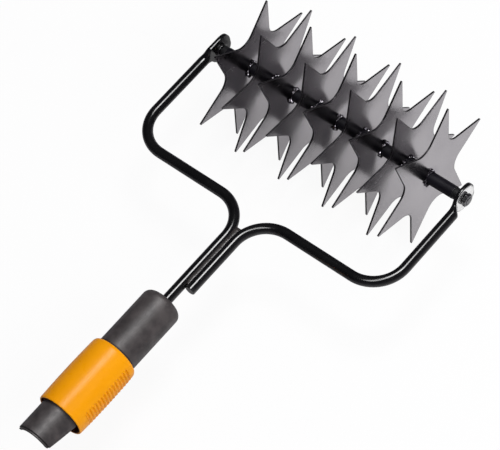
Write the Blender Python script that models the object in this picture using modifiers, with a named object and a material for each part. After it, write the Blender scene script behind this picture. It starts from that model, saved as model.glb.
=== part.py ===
# Aerator rake head: a roller of nine steel stars in a yoke of two round bars, on a push-on handle coupling.
# The origin is on the handle's axis, on the flat seat that the handle's end meets.
# +Y runs forward to the stars, +X to the right, and +Z up, square to the plane of the yoke.

import math

import bmesh
import bpy
from mathutils import Vector

MM = 0.001

# Clearances
SEAT_GAP = 0.3 * MM  # between pieces that are fastened, welded or pressed together
RUN_GAP = 0.4 * MM  # round and beside a piece that turns or slides

# Star blades, stamped from sheet
STAR_COUNT = 9
STAR_POINTS = 6
STAR_TIP_RADIUS = 67.0 * MM
STAR_NOTCH_RADIUS = 35.2 * MM
STAR_NOTCH_FILLET = 13.8 * MM
STAR_TIP_FLAT = 1.0 * MM
STAR_THICKNESS = 1.5 * MM
STAR_PITCH = 23.45 * MM
ROLLER_PHASE = math.radians(2.1)

# Roller tube, bushes and axle
TUBE_DIAMETER = 11.0 * MM
TUBE_WALL = 1.2 * MM
TUBE_OVERHANG = 26.2 * MM  # from the middle of the last star to the tube's end
BUSH_LENGTH = 12.0 * MM
BUSH_FLANGE_DIAMETER = 10.4 * MM
BUSH_FLANGE_THICKNESS = 3.8 * MM
AXLE_DIAMETER = 6.0 * MM
AXLE_CHAMFER = 0.6 * MM
AXLE_PROTRUSION = 0.4 * MM
WASHER_DIAMETER = 12.0 * MM
WASHER_THICKNESS = 1.6 * MM
NUT_ACROSS_FLATS = 10.0 * MM
NUT_HEIGHT = 3.6 * MM
NUT_CHAMFER = 0.4 * MM

# Weld beads that hold the stars on the tube
WELD_RADIUS = 0.6 * MM
TACKS_PER_STAR = 3
TACK_RADIUS = 1.6 * MM
TACK_WIDTH = 4.8 * MM  # round the tube
TACK_ANGLE = math.radians(190.0)

# Yoke bars
BAR_DIAMETER = 9.2 * MM
BEND_RADIUS = 30.4 * MM
TIP_CLEARANCE = 36.9 * MM  # from the star tips to the crossbar
STEM_LENGTH = 105.7 * MM  # from the crossbar to the socket's front face
STUB_GAP = 19.6 * MM  # from the short stem's end to the socket's front face
END_PLAY = 0.5 * MM  # the roller lies this far to the right of the yoke's middle
EYE_RADIUS = 12.4 * MM
EYE_THICKNESS = 3.4 * MM
EYE_NECK = 14.0 * MM  # length over which the round bar flattens
EYE_WAIST = 0.8  # how strongly the neck is drawn in
EYE_SQUARENESS = 8.0  # of the flat eye's section, where 2 is round
EYE_ROUND_END = math.radians(85.0)  # where the loft round the eye ends, short of its tip
STEM_WELD_RADIUS = 0.9 * MM
STEM_WELD_LENGTH = 44.0 * MM
STEM_WELD_SETBACK = 4.0 * MM  # from the short stem's end to the weld

# Handle socket
SOCKET_DIAMETER = 35.0 * MM
SOCKET_FRONT = 103.3 * MM  # from the seat to the front face
SOCKET_FILLET = 6.0 * MM
STEM_INSERT = 56.0 * MM  # how deep the long stem goes in
TONGUE_LENGTH = 52.0 * MM
TONGUE_WALL = 3.2 * MM
TONGUE_EDGE_AT_SEAT = -3.0 * MM  # height of the tongue's side edges
TONGUE_EDGE_AT_END = 7.4 * MM
HOOK_LENGTH = 3.0 * MM
HOOK_HEIGHT = 1.0 * MM
HOOK_SETBACK = 6.0 * MM  # from the tongue's end to the hook
HOOK_MARGIN = math.radians(12.0)  # from the tongue's side edges to the hook's ends
PIN_DIAMETER = 4.0 * MM
PIN_SETBACK = 34.0 * MM  # from the socket's front face to the pin
PIN_LENGTH = 26.0 * MM
PIN_CHAMFER = 0.4 * MM

# Lock sleeve
SLEEVE_LENGTH = 65.5 * MM
SLEEVE_FRONT = 43.2 * MM  # from the seat to the sleeve's front rim
SLEEVE_WALL = 3.3 * MM  # at the front lip, which runs on the socket
SLEEVE_CROWN = 0.5 * MM  # how far its middle swells
SLEEVE_FRONT_WALL = 0.8 * MM  # at the front rim
SLEEVE_FRONT_ROUND = 4.0 * MM
SLEEVE_ROOM = 1.7 * MM  # between the socket and the wide bore behind the lip
SLEEVE_REAR_WALL = 1.4 * MM  # at the rear rim
SLEEVE_REAR_ROUND = 1.6 * MM
LIP_LENGTH = 14.0 * MM
SLEEVE_TRAVEL = 26.0 * MM
KEY_SETBACK = 2.0 * MM  # from the sleeve's front rim to the keys
KEY_LENGTH = 6.0 * MM
KEY_WIDTH = 4.0 * MM
KEY_DEPTH = 1.2 * MM  # how far a key reaches into the socket
DETENT_WIRE = 1.6 * MM
DETENT_SETBACK = 11.5 * MM  # from the sleeve's front rim to the detent ring
DETENT_OPENING = math.radians(50.0)
DETENT_NOTCH = 0.5 * MM  # depth of the notches that the ring snaps into

# Facets
BAR_SIDES = 20
BEND_STEPS = 8
SOCKET_SIDES = 40
SMALL_SIDES = 24
ARC_STEPS = 5
EYE_STEPS = 8
WELD_OVERLAP = 0.02 * MM  # how far a joined shape stands inside the one it grows from
MERGE_DISTANCE = 0.01 * MM
WELD_STEPS = 24
WELD_SIDES = 6
SMOOTH_ANGLE = math.radians(35.0)

# Places that follow from the sizes
TUBE_LENGTH = (STAR_COUNT - 1) * STAR_PITCH + 2 * TUBE_OVERHANG
STEM_SPACING = BAR_DIAMETER + SEAT_GAP
YOKE_OFFSET = STEM_SPACING / 2  # from the handle's axis to the yoke's middle
ROLLER_OFFSET = YOKE_OFFSET + END_PLAY
STAR_PLANES = [ROLLER_OFFSET + (i - (STAR_COUNT - 1) / 2) * STAR_PITCH for i in range(STAR_COUNT)]
CROSSBAR_Y = SOCKET_FRONT + STEM_LENGTH
AXLE_Y = CROSSBAR_Y + BAR_DIAMETER / 2 + TIP_CLEARANCE + STAR_TIP_RADIUS
BUSH_FACE = TUBE_LENGTH / 2 + SEAT_GAP + BUSH_FLANGE_THICKNESS
WASHER_FACE = BUSH_FACE + END_PLAY + RUN_GAP
EYE_INNER = WASHER_FACE + WASHER_THICKNESS + SEAT_GAP
EYE_MIDDLE = EYE_INNER + EYE_THICKNESS / 2
ARM_OFFSET = EYE_INNER + BAR_DIAMETER / 2
NUT_FACE = EYE_INNER + EYE_THICKNESS + SEAT_GAP
AXLE_HOLE = AXLE_DIAMETER + 2 * SEAT_GAP
SLEEVE_LIP_RADIUS = SOCKET_DIAMETER / 2 + RUN_GAP
SLEEVE_BORE_RADIUS = SOCKET_DIAMETER / 2 + SLEEVE_ROOM

ALONG_X = (0.0, math.pi / 2, 0.0)
ALONG_Y = (-math.pi / 2, 0.0, 0.0)
UPRIGHT = (0.0, 0.0, 0.0)


def clear_scene():
    for item in list(bpy.data.objects):
        bpy.data.objects.remove(item, do_unlink=True)


def make_collection(name):
    collection = bpy.data.collections.new(name)
    bpy.context.scene.collection.children.link(collection)
    return collection


def make_material(name, colour, roughness, metallic=0.0):
    material = bpy.data.materials.new(name)
    material.use_nodes = True
    shader = material.node_tree.nodes["Principled BSDF"]
    shader.inputs["Base Color"].default_value = (*colour, 1.0)
    shader.inputs["Roughness"].default_value = roughness
    shader.inputs["Metallic"].default_value = metallic
    return material


clear_scene()
PARTS = make_collection("aerator_rake")
CUTTERS = make_collection("cutters")

BLACK_PAINT = make_material("black_paint", (0.008, 0.008, 0.009), 0.18)
STAR_STEEL = make_material("star_steel", (0.36, 0.36, 0.37), 0.22, 1.0)
TUBE_PAINT = make_material("tube_paint", (0.012, 0.012, 0.014), 0.35)
ZINC_STEEL = make_material("zinc_steel", (0.20, 0.20, 0.21), 0.35, 1.0)
SPRING_STEEL = make_material("spring_steel", (0.45, 0.45, 0.45), 0.30, 1.0)
WELD_METAL = make_material("weld_metal", (0.03, 0.03, 0.032), 0.30, 0.6)
BUSH_NYLON = make_material("bush_nylon", (0.02, 0.02, 0.02), 0.45)
GREY_PLASTIC = make_material("grey_plastic", (0.08, 0.075, 0.075), 0.50)
ORANGE_PLASTIC = make_material("orange_plastic", (0.90, 0.33, 0.01), 0.40)


def add_piece(name, data, material, place=(0.0, 0.0, 0.0), turn=UPRIGHT):
    piece = bpy.data.objects.new(name, data)
    piece.location = place
    piece.rotation_euler = turn
    if not data.materials:
        data.materials.append(material)
    PARTS.objects.link(piece)
    return piece


def combine(piece, helper, operation):
    """Cuts the helper's shape out of a piece, or joins it on, and keeps the helper as a guide only."""
    PARTS.objects.unlink(helper)
    CUTTERS.objects.link(helper)
    helper.hide_render = True
    helper.display_type = "WIRE"
    boolean = piece.modifiers.new(helper.name, "BOOLEAN")
    boolean.operation = operation
    boolean.solver = "EXACT"
    boolean.object = helper


def cut(piece, helper):
    combine(piece, helper, "DIFFERENCE")


def join(piece, helper):
    combine(piece, helper, "UNION")


def smooth(mesh):
    mesh.shade_smooth()
    mesh.set_sharp_from_angle(angle=SMOOTH_ANGLE)


def mesh_from(shape, name):
    mesh = bpy.data.meshes.new(name)
    shape.to_mesh(mesh)
    shape.free()
    return mesh


def cylinder(name, diameter, length, material, place, turn, sides=SMALL_SIDES):
    shape = bmesh.new()
    radius = diameter / 2
    bmesh.ops.create_cone(
        shape, cap_ends=True, segments=sides, radius1=radius, radius2=radius, depth=length
    )
    mesh = mesh_from(shape, name)
    smooth(mesh)
    return add_piece(name, mesh, material, place, turn)


def block(name, low, high, material):
    """A box between two corners."""
    low = Vector(low)
    high = Vector(high)
    shape = bmesh.new()
    bmesh.ops.create_cube(shape, size=1.0)
    bmesh.ops.scale(shape, vec=high - low, verts=shape.verts)
    return add_piece(name, mesh_from(shape, name), material, (low + high) / 2)


def arc(centre_x, centre_y, radius, start, end, steps=ARC_STEPS):
    """Points of a round corner from one angle to another, in radians."""
    angles = [start + (end - start) * i / steps for i in range(steps + 1)]
    return [(centre_x + radius * math.cos(a), centre_y + radius * math.sin(a)) for a in angles]


def turned(name, profile, material, place, turn, sides=SMALL_SIDES, closed=False):
    """A turned shape, whose profile of (radius, height) runs down its outer side."""
    mesh = bpy.data.meshes.new(name)
    edges = [(i, i + 1) for i in range(len(profile) - 1)]
    if closed:
        edges.append((len(profile) - 1, 0))
    mesh.from_pydata([(radius, 0.0, height) for radius, height in profile], edges, [])
    piece = add_piece(name, mesh, material, place, turn)
    screw = piece.modifiers.new("Turn", "SCREW")
    screw.steps = sides
    screw.render_steps = sides
    screw.use_merge_vertices = True
    screw.merge_threshold = MERGE_DISTANCE
    screw.use_smooth_shade = True
    return piece


def ring(name, bore, diameter, length, material, place, turn, sides=SMALL_SIDES):
    """A plain ring or tube, centred on its place."""
    half = length / 2
    corners = [(bore / 2, half), (diameter / 2, half), (diameter / 2, -half), (bore / 2, -half)]
    return turned(name, corners, material, place, turn, sides, closed=True)


def pin(name, diameter, length, chamfer, material, place, turn):
    """A round pin with chamfered ends, centred on its place."""
    half = length / 2
    radius = diameter / 2
    profile = [
        (0.0, half),
        (radius - chamfer, half),
        (radius, half - chamfer),
        (radius, chamfer - half),
        (radius - chamfer, -half),
        (0.0, -half),
    ]
    return turned(name, profile, material, place, turn)


def bar_mesh(name, points, diameter, sides):
    """A round bar along the points, as a mesh with its caps welded on."""
    curve = bpy.data.curves.new(name, "CURVE")
    curve.dimensions = "3D"
    curve.bevel_depth = diameter / 2
    curve.bevel_resolution = sides // 2 - 2
    curve.use_fill_caps = True
    spline = curve.splines.new("POLY")
    spline.points.add(len(points) - 1)
    for point, place in zip(spline.points, points):
        point.co = (*place, 1.0)
    guide = bpy.data.objects.new(name, curve)
    bpy.context.scene.collection.objects.link(guide)
    graph = bpy.context.evaluated_depsgraph_get()
    mesh = bpy.data.meshes.new_from_object(guide.evaluated_get(graph))
    bpy.data.objects.remove(guide)
    bpy.data.curves.remove(curve)
    shape = bmesh.new()
    shape.from_mesh(mesh)
    bmesh.ops.remove_doubles(shape, verts=shape.verts, dist=MERGE_DISTANCE)
    shape.to_mesh(mesh)
    shape.free()
    smooth(mesh)
    return mesh


def star_outline():
    """Straight flanks run from each tip, as tangents, into round notches."""
    half_step = math.pi / STAR_POINTS
    centre = STAR_NOTCH_RADIUS + STAR_NOTCH_FILLET
    # One notch lies on the x axis here, between the tip below it and the tip above it.
    tip_x = STAR_TIP_RADIUS * math.cos(half_step) + STAR_TIP_FLAT / 2 * math.sin(half_step)
    tip_y = STAR_TIP_RADIUS * math.sin(half_step) - STAR_TIP_FLAT / 2 * math.cos(half_step)
    reach = math.hypot(tip_x - centre, tip_y)
    bearing = math.atan2(tip_y, tip_x - centre)
    spread = math.pi - bearing - math.acos(STAR_NOTCH_FILLET / reach)
    notch = arc(centre, 0.0, STAR_NOTCH_FILLET, math.pi + spread, math.pi - spread, 2 * ARC_STEPS)
    gap = [(tip_x, -tip_y), *notch, (tip_x, tip_y)]
    outline = []
    for point in range(STAR_POINTS):
        angle = half_step * (2 * point + 1)
        c = math.cos(angle)
        s = math.sin(angle)
        outline += [(x * c - y * s, x * s + y * c) for x, y in gap]
    return outline


def star_sheet():
    """The flat outline of a star and the hole that fits over the roller tube, given its thickness."""
    sheet = bpy.data.curves.new("star", "CURVE")
    sheet.dimensions = "2D"
    sheet.fill_mode = "BOTH"
    sheet.extrude = STAR_THICKNESS / 2
    hole = arc(0.0, 0.0, TUBE_DIAMETER / 2 + SEAT_GAP, 0.0, 2 * math.pi, SMALL_SIDES)[:-1]
    for points in (star_outline(), hole):
        spline = sheet.splines.new("POLY")
        spline.points.add(len(points) - 1)
        spline.use_cyclic_u = True
        for point, (x, y) in zip(spline.points, points):
            point.co = (x, y, 0.0, 1.0)
    return sheet


def make_stars():
    """Every second star is turned by half a point, so that the tips are staggered."""
    sheet = star_sheet()
    for number, plane in enumerate(STAR_PLANES, start=1):
        turn = ROLLER_PHASE + (number + 1) % 2 * math.pi / STAR_POINTS
        star = add_piece(f"star_{number}", sheet, STAR_STEEL, (plane, AXLE_Y, 0.0))
        star.rotation_mode = "ZYX"
        star.rotation_euler = (turn, math.pi / 2, math.pi / 2)


def weld_bead_mesh():
    """A thin bead in the corner between tube and star, which swells into evenly spaced tacks."""
    shape = bmesh.new()
    sections = []
    tube = TUBE_DIAMETER / 2 + SEAT_GAP
    face = STAR_THICKNESS / 2 + SEAT_GAP
    tack_spread = TACK_WIDTH / (tube + TACK_RADIUS)
    tack_step = 2 * math.pi / TACKS_PER_STAR
    for i in range(WELD_STEPS):
        angle = 2 * math.pi * i / WELD_STEPS
        from_tack = abs((angle + tack_step / 2) % tack_step - tack_step / 2)
        swell = max(0.0, math.cos(min(from_tack / tack_spread, 1.0) * math.pi / 2))
        size = WELD_RADIUS + (TACK_RADIUS - WELD_RADIUS) * swell
        section = []
        for k in range(WELD_SIDES):
            side = 2 * math.pi * k / WELD_SIDES
            out = tube + size * (1 + math.sin(side))
            along = face + size * (1 + math.cos(side))
            section.append(shape.verts.new((along, out * math.cos(angle), out * math.sin(angle))))
        sections.append(section)
    for near, far in zip(sections, sections[1:] + sections[:1]):
        for k in range(WELD_SIDES):
            shape.faces.new((near[k - 1], near[k], far[k], far[k - 1]))
    bmesh.ops.recalc_face_normals(shape, faces=shape.faces)
    mesh = mesh_from(shape, "weld_bead")
    smooth(mesh)
    return mesh


def make_star_welds():
    bead = weld_bead_mesh()
    for number, plane in enumerate(STAR_PLANES, start=1):
        turn = TACK_ANGLE + ROLLER_PHASE + (number + 1) % 2 * math.pi / TACKS_PER_STAR
        add_piece(f"star_weld_{number}", bead, WELD_METAL, (plane, AXLE_Y, 0.0), (turn, 0.0, 0.0))


def make_roller_tube():
    bore = TUBE_DIAMETER - 2 * TUBE_WALL
    place = (ROLLER_OFFSET, AXLE_Y, 0.0)
    ring("roller_tube", bore, TUBE_DIAMETER, TUBE_LENGTH, TUBE_PAINT, place, ALONG_X)


def make_bush(name, side):
    """A flanged bush in one end of the tube."""
    inner = AXLE_DIAMETER / 2 + RUN_GAP
    barrel = TUBE_DIAMETER / 2 - TUBE_WALL - SEAT_GAP
    flange = BUSH_FLANGE_DIAMETER / 2
    face = SEAT_GAP + BUSH_FLANGE_THICKNESS
    profile = [
        (inner, face),
        (flange, face),
        (flange, SEAT_GAP),
        (barrel, SEAT_GAP),
        (barrel, -BUSH_LENGTH),
        (inner, -BUSH_LENGTH),
    ]
    place = (ROLLER_OFFSET + side * TUBE_LENGTH / 2, AXLE_Y, 0.0)
    turned(name, profile, BUSH_NYLON, place, (0.0, side * math.pi / 2, 0.0), closed=True)


def make_washer(name, side):
    middle = WASHER_FACE + WASHER_THICKNESS / 2
    place = (YOKE_OFFSET + side * middle, AXLE_Y, 0.0)
    ring(name, AXLE_HOLE, WASHER_DIAMETER, WASHER_THICKNESS, ZINC_STEEL, place, ALONG_X)


def make_axle():
    length = 2 * (NUT_FACE + NUT_HEIGHT + AXLE_PROTRUSION)
    place = (YOKE_OFFSET, AXLE_Y, 0.0)
    pin("axle_rod", AXLE_DIAMETER, length, AXLE_CHAMFER, ZINC_STEEL, place, ALONG_X)


def make_nut(name, side):
    shape = bmesh.new()
    corner = NUT_ACROSS_FLATS / math.sqrt(3)
    bmesh.ops.create_cone(
        shape, cap_ends=True, segments=6, radius1=corner, radius2=corner, depth=NUT_HEIGHT
    )
    place = (YOKE_OFFSET + side * (NUT_FACE + NUT_HEIGHT / 2), AXLE_Y, 0.0)
    nut = add_piece(name, mesh_from(shape, name), ZINC_STEEL, place, ALONG_X)
    bevel = nut.modifiers.new("Edges", "BEVEL")
    bevel.width = NUT_CHAMFER
    bevel.segments = 1
    cut(nut, cylinder(name + "_bore", AXLE_HOLE, 2 * NUT_HEIGHT, ZINC_STEEL, place, ALONG_X))


def rounded_path(corners, radius):
    """A path with square corners, each rounded by an arc."""
    corners = [Vector(corner) for corner in corners]
    path = [corners[0]]
    for before, corner, after in zip(corners, corners[1:], corners[2:]):
        into = (corner - before).normalized()
        out = (after - corner).normalized()
        centre = corner + (out - into) * radius
        for i in range(BEND_STEPS + 1):
            angle = math.pi / 2 * i / BEND_STEPS
            path.append(centre + (into * math.sin(angle) - out * math.cos(angle)) * radius)
    path.append(corners[-1])
    return path


def eye_mesh(name, side):
    """A loft from the round bar's section, through a flattening neck, to the round flat eye."""
    chord = EYE_RADIUS * math.sin(math.pi / 4)
    bar = BAR_DIAMETER / 2 - WELD_OVERLAP  # the loft starts just inside the bar
    stations = []
    for i in range(EYE_STEPS):
        share = i / EYE_STEPS
        ease = share * share * (3 - 2 * share)
        waist = share * share * (1 - share) * EYE_NECK * EYE_WAIST
        along = -chord - EYE_NECK * (1 - share)
        width = bar + (chord - bar) * ease - waist
        depth = bar + (EYE_THICKNESS / 2 - bar) * ease
        middle = ARM_OFFSET + (EYE_MIDDLE - ARM_OFFSET) * ease
        stations.append((along, width, depth, middle, 2 + (EYE_SQUARENESS - 2) * ease))
    for i in range(EYE_STEPS + 1):
        angle = -math.pi / 4 + (EYE_ROUND_END + math.pi / 4) * i / EYE_STEPS
        along = EYE_RADIUS * math.sin(angle)
        width = EYE_RADIUS * math.cos(angle)
        stations.append((along, width, EYE_THICKNESS / 2, EYE_MIDDLE, EYE_SQUARENESS))
    shape = bmesh.new()
    rings = []
    for along, width, depth, middle, squareness in stations:
        ring_verts = []
        for k in range(BAR_SIDES):
            angle = 2 * math.pi * k / BAR_SIDES
            c = math.cos(angle)
            s = math.sin(angle)
            x = math.copysign(abs(c) ** (2 / squareness), c) * depth
            z = math.copysign(abs(s) ** (2 / squareness), s) * width
            ring_verts.append(shape.verts.new((YOKE_OFFSET + side * (middle + x), AXLE_Y + along, z)))
        rings.append(ring_verts)
    for lower, upper in zip(rings, rings[1:]):
        for k in range(BAR_SIDES):
            shape.faces.new((lower[k], lower[k - 1], upper[k - 1], upper[k]))
    shape.faces.new(rings[0])
    shape.faces.new(rings[-1])
    bmesh.ops.recalc_face_normals(shape, faces=shape.faces)
    mesh = mesh_from(shape, name)
    smooth(mesh)
    return mesh


def make_bar(name, side, stem_x, stem_end):
    """One bar of the yoke: eye, arm, half of the crossbar and a stem, bent from one length."""
    arm_x = YOKE_OFFSET + side * ARM_OFFSET
    neck_start = AXLE_Y - EYE_RADIUS * math.sin(math.pi / 4) - EYE_NECK
    corners = [
        (arm_x, neck_start + SEAT_GAP, 0.0),
        (arm_x, CROSSBAR_Y, 0.0),
        (stem_x, CROSSBAR_Y, 0.0),
        (stem_x, stem_end, 0.0),
    ]
    mesh = bar_mesh(name, rounded_path(corners, BEND_RADIUS), BAR_DIAMETER, BAR_SIDES)
    bar = add_piece(name, mesh, BLACK_PAINT)
    join(bar, add_piece(name + "_eye", eye_mesh(name + "_eye", side), BLACK_PAINT))
    hole_place = (YOKE_OFFSET + side * EYE_MIDDLE, AXLE_Y, 0.0)
    cut(bar, cylinder(name + "_hole", AXLE_HOLE, 4 * EYE_THICKNESS, BLACK_PAINT, hole_place, ALONG_X))
    return bar


def make_stem_weld(name, up):
    """A bead laid in the groove between the two stems."""
    reach = BAR_DIAMETER / 2 + SEAT_GAP + STEM_WELD_RADIUS
    height = up * math.sqrt(reach**2 - (STEM_SPACING / 2) ** 2)
    start = SOCKET_FRONT + STUB_GAP + STEM_WELD_SETBACK
    place = (STEM_SPACING / 2, start + STEM_WELD_LENGTH / 2, height)
    chamfer = STEM_WELD_RADIUS / 3
    pin(name, 2 * STEM_WELD_RADIUS, STEM_WELD_LENGTH, chamfer, WELD_METAL, place, ALONG_Y)


def pin_place():
    """The middle of the retaining pin, whose lower end is just inside the socket's skin."""
    low = SEAT_GAP - SOCKET_DIAMETER / 2
    return (0.0, SOCKET_FRONT - PIN_SETBACK, low + PIN_LENGTH / 2)


def pin_hole(name):
    """A blind hole for the pin, open below."""
    x, y, z = pin_place()
    length = PIN_LENGTH + SOCKET_DIAMETER
    top = z + PIN_LENGTH / 2 + SEAT_GAP
    diameter = PIN_DIAMETER + 2 * SEAT_GAP
    return cylinder(name, diameter, length, GREY_PLASTIC, (x, y, top - length / 2), UPRIGHT)


def make_yoke():
    long_stem_end = SOCKET_FRONT - STEM_INSERT + SEAT_GAP
    long_bar = make_bar("long_bar", -1, 0.0, long_stem_end)
    cut(long_bar, pin_hole("long_bar_pin_hole"))
    make_bar("short_bar", 1, STEM_SPACING, SOCKET_FRONT + STUB_GAP)
    make_stem_weld("stem_weld_upper", 1)
    make_stem_weld("stem_weld_lower", -1)


def sleeve_detent_y():
    return SLEEVE_FRONT - DETENT_SETBACK


def make_socket():
    """A solid front barrel round the stem, and a curved tongue behind the seat."""
    radius = SOCKET_DIAMETER / 2
    rounding = arc(radius - SOCKET_FILLET, SOCKET_FRONT - SOCKET_FILLET, SOCKET_FILLET, math.pi / 2, 0.0)
    profile = [(0.0, SOCKET_FRONT), *rounding, (radius, -TONGUE_LENGTH), (0.0, -TONGUE_LENGTH)]
    socket = turned("handle_socket", profile, GREY_PLASTIC, (0.0, 0.0, 0.0), ALONG_Y, SOCKET_SIDES)

    bore_length = STEM_INSERT + SOCKET_FILLET
    bore_y = SOCKET_FRONT - STEM_INSERT + bore_length / 2
    bore = BAR_DIAMETER + 2 * SEAT_GAP
    cut(socket, cylinder("stem_bore", bore, bore_length, GREY_PLASTIC, (0.0, bore_y, 0.0), ALONG_Y))
    cut(socket, pin_hole("socket_pin_hole"))

    hollow = SOCKET_DIAMETER - 2 * TONGUE_WALL
    hollow_place = (0.0, -TONGUE_LENGTH, 0.0)
    hollow_length = 2 * TONGUE_LENGTH
    cut(socket, cylinder("hollow", hollow, hollow_length, GREY_PLASTIC, hollow_place, ALONG_Y, SOCKET_SIDES))

    # The tongue's side edges rise towards its end, so the piece cut away is a wedge.
    wedge = bmesh.new()
    bmesh.ops.create_cube(wedge, size=1.0)
    slope = (TONGUE_EDGE_AT_SEAT - TONGUE_EDGE_AT_END) / TONGUE_LENGTH
    for vert in wedge.verts:
        x = vert.co.x * 2 * SOCKET_DIAMETER
        y = 0.0 if vert.co.y > 0 else -2 * TONGUE_LENGTH
        z = TONGUE_EDGE_AT_SEAT + slope * y if vert.co.z > 0 else -SOCKET_DIAMETER
        vert.co = (x, y, z)
    cut(socket, add_piece("tongue_relief", mesh_from(wedge, "tongue_relief"), GREY_PLASTIC))

    join(socket, make_hook())

    groove_front = SLEEVE_FRONT - KEY_SETBACK + RUN_GAP
    groove_rear = SLEEVE_FRONT - KEY_SETBACK - KEY_LENGTH - SLEEVE_TRAVEL - RUN_GAP
    groove_floor = radius - KEY_DEPTH - RUN_GAP
    half_width = KEY_WIDTH / 2 + RUN_GAP
    for side in (-1, 1):
        near = side * groove_floor
        far = side * SOCKET_DIAMETER
        low = (min(near, far), groove_rear, -half_width)
        high = (max(near, far), groove_front, half_width)
        cut(socket, block(f"key_groove_{side}", low, high, GREY_PLASTIC))

    for share in (0.0, 1.0):
        y = sleeve_detent_y() - share * SLEEVE_TRAVEL
        notch = ring(
            f"detent_notch_{share:.0f}",
            2 * (radius - DETENT_NOTCH),
            2 * SOCKET_DIAMETER,
            DETENT_WIRE,
            GREY_PLASTIC,
            (0.0, y, 0.0),
            ALONG_Y,
            SOCKET_SIDES,
        )
        cut(socket, notch)


def make_hook():
    """A curved rib inside the tongue that the handle's own tongue hooks behind."""
    inner = SOCKET_DIAMETER / 2 - TONGUE_WALL
    middle = HOOK_SETBACK + HOOK_LENGTH / 2 - TONGUE_LENGTH
    edge_angle = math.asin(TONGUE_EDGE_AT_END / inner)
    start = edge_angle + HOOK_MARGIN
    end = math.pi - edge_angle - HOOK_MARGIN
    steps = 2 * ARC_STEPS
    inside = arc(0.0, 0.0, inner - HOOK_HEIGHT, start, end, steps)
    outside = arc(0.0, 0.0, inner + TONGUE_WALL / 2, end, start, steps)
    curve = bpy.data.curves.new("hook", "CURVE")
    curve.dimensions = "2D"
    curve.fill_mode = "BOTH"
    curve.extrude = HOOK_LENGTH / 2
    spline = curve.splines.new("POLY")
    points = inside + outside
    spline.points.add(len(points) - 1)
    spline.use_cyclic_u = True
    for point, (x, y) in zip(spline.points, points):
        point.co = (x, y, 0.0, 1.0)
    guide = bpy.data.objects.new("hook_guide", curve)
    bpy.context.scene.collection.objects.link(guide)
    graph = bpy.context.evaluated_depsgraph_get()
    mesh = bpy.data.meshes.new_from_object(guide.evaluated_get(graph))
    bpy.data.objects.remove(guide)
    shape = bmesh.new()
    shape.from_mesh(mesh)
    bmesh.ops.remove_doubles(shape, verts=shape.verts, dist=MERGE_DISTANCE)
    bmesh.ops.recalc_face_normals(shape, faces=shape.faces)
    place = (0.0, middle, 0.0)
    return add_piece("hook", mesh_from(shape, "hook"), GREY_PLASTIC, place, (math.pi / 2, 0.0, 0.0))


def make_stem_pin():
    pin("stem_pin", PIN_DIAMETER, PIN_LENGTH, PIN_CHAMFER, SPRING_STEEL, pin_place(), UPRIGHT)


def make_sleeve():
    """A ring with a swollen grip, a close-fitting lip at the front and a wide bore behind it."""
    rear = SLEEVE_FRONT - SLEEVE_LENGTH
    front_end = SLEEVE_FRONT - SLEEVE_FRONT_ROUND
    rear_end = rear + SLEEVE_REAR_ROUND
    lip = SLEEVE_LIP_RADIUS
    bore = SLEEVE_BORE_RADIUS
    body = lip + SLEEVE_WALL
    front_rim = lip + SLEEVE_FRONT_WALL
    rear_rim = bore + SLEEVE_REAR_WALL
    lip_end = SLEEVE_FRONT - LIP_LENGTH
    profile = [(lip, SLEEVE_FRONT)]
    for i in range(ARC_STEPS):
        angle = math.pi / 2 * i / ARC_STEPS
        radius = front_rim + (body - front_rim) * math.sin(angle)
        profile.append((radius, front_end + SLEEVE_FRONT_ROUND * math.cos(angle)))
    for i in range(ARC_STEPS + 1):
        share = i / ARC_STEPS
        swell = SLEEVE_CROWN * (1 - (2 * share - 1) ** 2)
        profile.append((body + swell, front_end + (rear_end - front_end) * share))
    for i in range(1, ARC_STEPS // 2 + 1):
        angle = math.pi / 2 * i / (ARC_STEPS // 2)
        radius = rear_rim + (body - rear_rim) * math.cos(angle)
        profile.append((radius, rear_end - SLEEVE_REAR_ROUND * math.sin(angle)))
    profile += [(bore, rear), (bore, lip_end - (bore - lip)), (lip, lip_end)]
    sleeve = turned(
        "lock_sleeve", profile, ORANGE_PLASTIC, (0.0, 0.0, 0.0), ALONG_Y, SOCKET_SIDES, closed=True
    )

    wire_room = DETENT_WIRE + 2 * SEAT_GAP
    seat_diameter = 2 * (SLEEVE_LIP_RADIUS + wire_room)
    detent_place = (0.0, sleeve_detent_y(), 0.0)
    cut(
        sleeve,
        ring(
            "detent_seat", SOCKET_DIAMETER, seat_diameter, wire_room, ORANGE_PLASTIC, detent_place,
            ALONG_Y, SOCKET_SIDES,
        ),
    )

    key_front = SLEEVE_FRONT - KEY_SETBACK
    for side in (-1, 1):
        near = side * (SOCKET_DIAMETER / 2 - KEY_DEPTH)
        far = side * (lip + SLEEVE_FRONT_WALL / 2)
        low = (min(near, far), key_front - KEY_LENGTH, -KEY_WIDTH / 2)
        high = (max(near, far), key_front, KEY_WIDTH / 2)
        join(sleeve, block(f"key_{side}", low, high, ORANGE_PLASTIC))


def make_detent_ring():
    """An open wire ring that sits in the sleeve and snaps into a notch at each end of its travel."""
    radius = SLEEVE_LIP_RADIUS + DETENT_WIRE / 2
    start = DETENT_OPENING / 2 - math.pi / 2
    end = 3 * math.pi / 2 - DETENT_OPENING / 2
    points = [Vector((x, 0.0, z)) for x, z in arc(0.0, 0.0, radius, start, end, SMALL_SIDES)]
    mesh = bar_mesh("detent_ring", points, DETENT_WIRE, 8)
    add_piece("detent_ring", mesh, SPRING_STEEL, (0.0, sleeve_detent_y(), 0.0))


make_stars()
make_star_welds()
make_roller_tube()
make_bush("bush_left", -1)
make_bush("bush_right", 1)
make_washer("thrust_washer_left", -1)
make_washer("thrust_washer_right", 1)
make_axle()
make_nut("axle_nut_left", -1)
make_nut("axle_nut_right", 1)
make_yoke()
make_socket()
make_stem_pin()
make_sleeve()
make_detent_ring()
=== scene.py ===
import math

import bmesh
import bpy
import numpy as np
from mathutils import Matrix, Vector


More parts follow.
